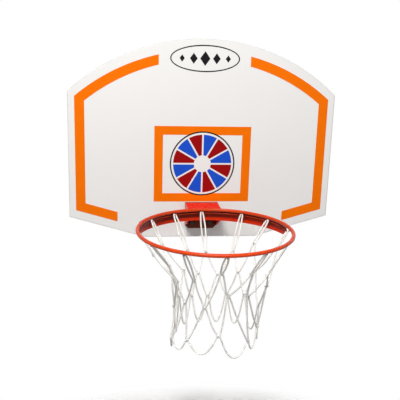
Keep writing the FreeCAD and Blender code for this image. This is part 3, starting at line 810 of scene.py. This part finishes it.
def buildNet():
    loops, mesh, rims, knots = bmesh.new(), bmesh.new(), bmesh.new(), bmesh.new()
    for number in range(hookCount):
        cordAlong(loops, loopRoute(number))
        cordAlong(rims, rimRoute(number))
        for row in range(3):
            tieKnot(knots, row, number)
        for row in range(2):
            for side, lower in ((-1, number + row - 1), (1, number + row)):
                cordAlong(mesh, meshRoute(knotPort(row, number, side), knotPort(row + 1, lower, -side)))
    addPiece("netLoops", loops, cordFinish, "net_cord", "net_loops")
    addPiece("netMesh", mesh, cordFinish, "net_cord", "net_mesh")
    addPiece("netRimLoops", rims, cordFinish, "net_cord", "net_rim_loops")
    addPiece("netKnots", knots, cordFinish, "net_cord", "net_knots")


buildNet()


# floor, light and camera

studio = {
    "floorLevel": -0.75, "floorHalf": 6.0, "floorColour": (0.485, 0.485, 0.485, 1), "ambient": 0.41, "bounce": 0.24,
    "shadowCentre": (-0.03, -0.55, 0.0), "shadowTurn": -0.075, "shadowWide": 1.63, "shadowReach": (0.285, 0.395),
    "key": {
        "place": (-0.65, -1.95, 2.15), "aim": (0, -0.1, -0.05),
        "size": 0.9, "power": 80, "tint": (1.0, 0.985, 0.965), "spread": 180,
    },
    "rear": {
        "place": (0.18, 0.72, 2.70), "aim": (0.0, -0.25, -0.75),
        "size": 1.0, "power": 130, "tint": (1.0, 1.0, 1.0), "spread": 180,
    },
    "fill": {
        "place": (0.10, -2.10, 0.80), "aim": (0, -0.52, -0.42),
        "size": 0.3, "power": 0.3, "tint": (1.0, 1.0, 1.0), "spread": 26,
    },
    "rearReach": ("board_back_sheet", "backing_plate", "wall_rail_left", "wall_rail_right"),
}


def whiteToCamera(tree):  # 1 for rays that show the background, 0 for those that light the object
    path = addNode(tree, "LightPath")
    seen = calculate(tree, "MAXIMUM", path.outputs["Is Camera Ray"], path.outputs["Is Glossy Ray"])
    return calculate(tree, "MAXIMUM", seen, path.outputs["Is Transmission Ray"])


def makeWorld():
    world = bpy.data.worlds.new("studioWorld")
    world.use_nodes = True
    tree = world.node_tree
    tree.nodes.clear()
    ambient = addNode(tree, "Background", {"Color": (1, 1, 1, 1), "Strength": studio["ambient"]})
    white = addNode(tree, "Background", {"Color": (1, 1, 1, 1), "Strength": 1.0})
    both = addNode(tree, "MixShader")
    join(tree, whiteToCamera(tree), both.inputs[0])
    join(tree, ambient.outputs[0], both.inputs[1])
    join(tree, white.outputs[0], both.inputs[2])
    join(tree, both.outputs[0], addNode(tree, "OutputWorld").inputs["Surface"])
    scene.world = world


def makeFloor():
    material = bpy.data.materials.new("paleFloor")
    material.use_nodes = True
    tree = material.node_tree
    tree.nodes.clear()
    placed = addNode(tree, "Mapping", {
        "Location": studio["shadowCentre"], "Rotation": (0, 0, studio["shadowTurn"]),
        "Scale": (studio["shadowWide"], 1, 1),
    }, vector_type="TEXTURE")
    join(tree, addNode(tree, "TexCoord").outputs["Object"], placed.inputs["Vector"])
    away = addNode(tree, "VectorMath", operation="LENGTH")
    join(tree, placed.outputs[0], away.inputs[0])
    near, far = studio["shadowReach"]
    fade = addNode(tree, "MapRange", {"From Min": near, "From Max": far}, interpolation_type="SMOOTHSTEP")
    join(tree, away.outputs["Value"], fade.inputs["Value"])
    shown = addNode(tree, "MixShader")  # the shadow near the object, white further out
    join(tree, fade.outputs[0], shown.inputs[0])
    join(tree, addNode(tree, "BsdfDiffuse", {"Color": studio["floorColour"]}).outputs[0], shown.inputs[1])
    join(tree, addNode(tree, "Emission", {"Color": (1, 1, 1, 1), "Strength": 1.0}).outputs[0], shown.inputs[2])
    both = addNode(tree, "MixShader")  # to other rays the floor is dimmer than the room
    join(tree, whiteToCamera(tree), both.inputs[0])
    dim = addNode(tree, "Emission", {"Color": (1, 1, 1, 1), "Strength": studio["bounce"]})
    join(tree, dim.outputs[0], both.inputs[1])
    join(tree, shown.outputs[0], both.inputs[2])
    join(tree, both.outputs[0], addNode(tree, "OutputMaterial").inputs["Surface"])
    bm = bmesh.new()
    bmesh.ops.create_grid(bm, x_segments=8, y_segments=8, size=studio["floorHalf"])
    mesh = bpy.data.meshes.new("floor")
    bm.to_mesh(mesh)
    bm.free()
    mesh.materials.append(material)
    floor = bpy.data.objects.new("floor", mesh)
    floor.location.z = studio["floorLevel"]
    scene.collection.objects.link(floor)
    return floor


def addLamp(name):
    values = studio[name]
    lamp = bpy.data.lights.new(name, "AREA")
    lamp.shape = "DISK"
    lamp.size = values["size"]
    lamp.energy = values["power"]
    lamp.color = values["tint"]
    lamp.spread = math.radians(values["spread"])
    holder = bpy.data.objects.new(name, lamp)
    holder.location = values["place"]
    ahead = Vector(values["aim"]) - Vector(values["place"])
    holder.rotation_euler = ahead.to_track_quat("-Z", "Y").to_euler()
    scene.collection.objects.link(holder)
    return holder


def addRearLamp(floor):  # draws the shadow on the floor and lights the back, not the ring and the net
    reached = bpy.data.collections.new("rearReach")
    for piece in (floor, *(nodes[name] for name in studio["rearReach"])):
        reached.objects.link(piece)
    addLamp("rear").light_linking.receiver_collection = reached


view = {
    "place": (-0.2567, -1.99665, 0.31724), "heading": 0.12938, "dip": 0.24964, "roll": 0.02908,
    "lens": 59.10, "film": 36.0,
}


def addCamera():
    level = math.cos(view["dip"])
    ahead = Vector((math.sin(view["heading"]) * level, math.cos(view["heading"]) * level, -math.sin(view["dip"])))
    right = ahead.cross(upward).normalized()
    above = right.cross(ahead)
    tilted = right * math.cos(view["roll"]) + above * math.sin(view["roll"])
    raised = above * math.cos(view["roll"]) - right * math.sin(view["roll"])
    data = bpy.data.cameras.new("camera")
    data.sensor_width = view["film"]
    data.lens = view["lens"]
    holder = bpy.data.objects.new("camera", data)
    for row in range(3):
        for column, axis in enumerate((tilted, raised, -ahead, Vector(view["place"]))):
            holder.matrix_world[row][column] = axis[row]
    scene.collection.objects.link(holder)
    scene.camera = holder


makeWorld()
addRearLamp(makeFloor())
addLamp("key")
addLamp("fill")
addCamera()
print("studio ready")
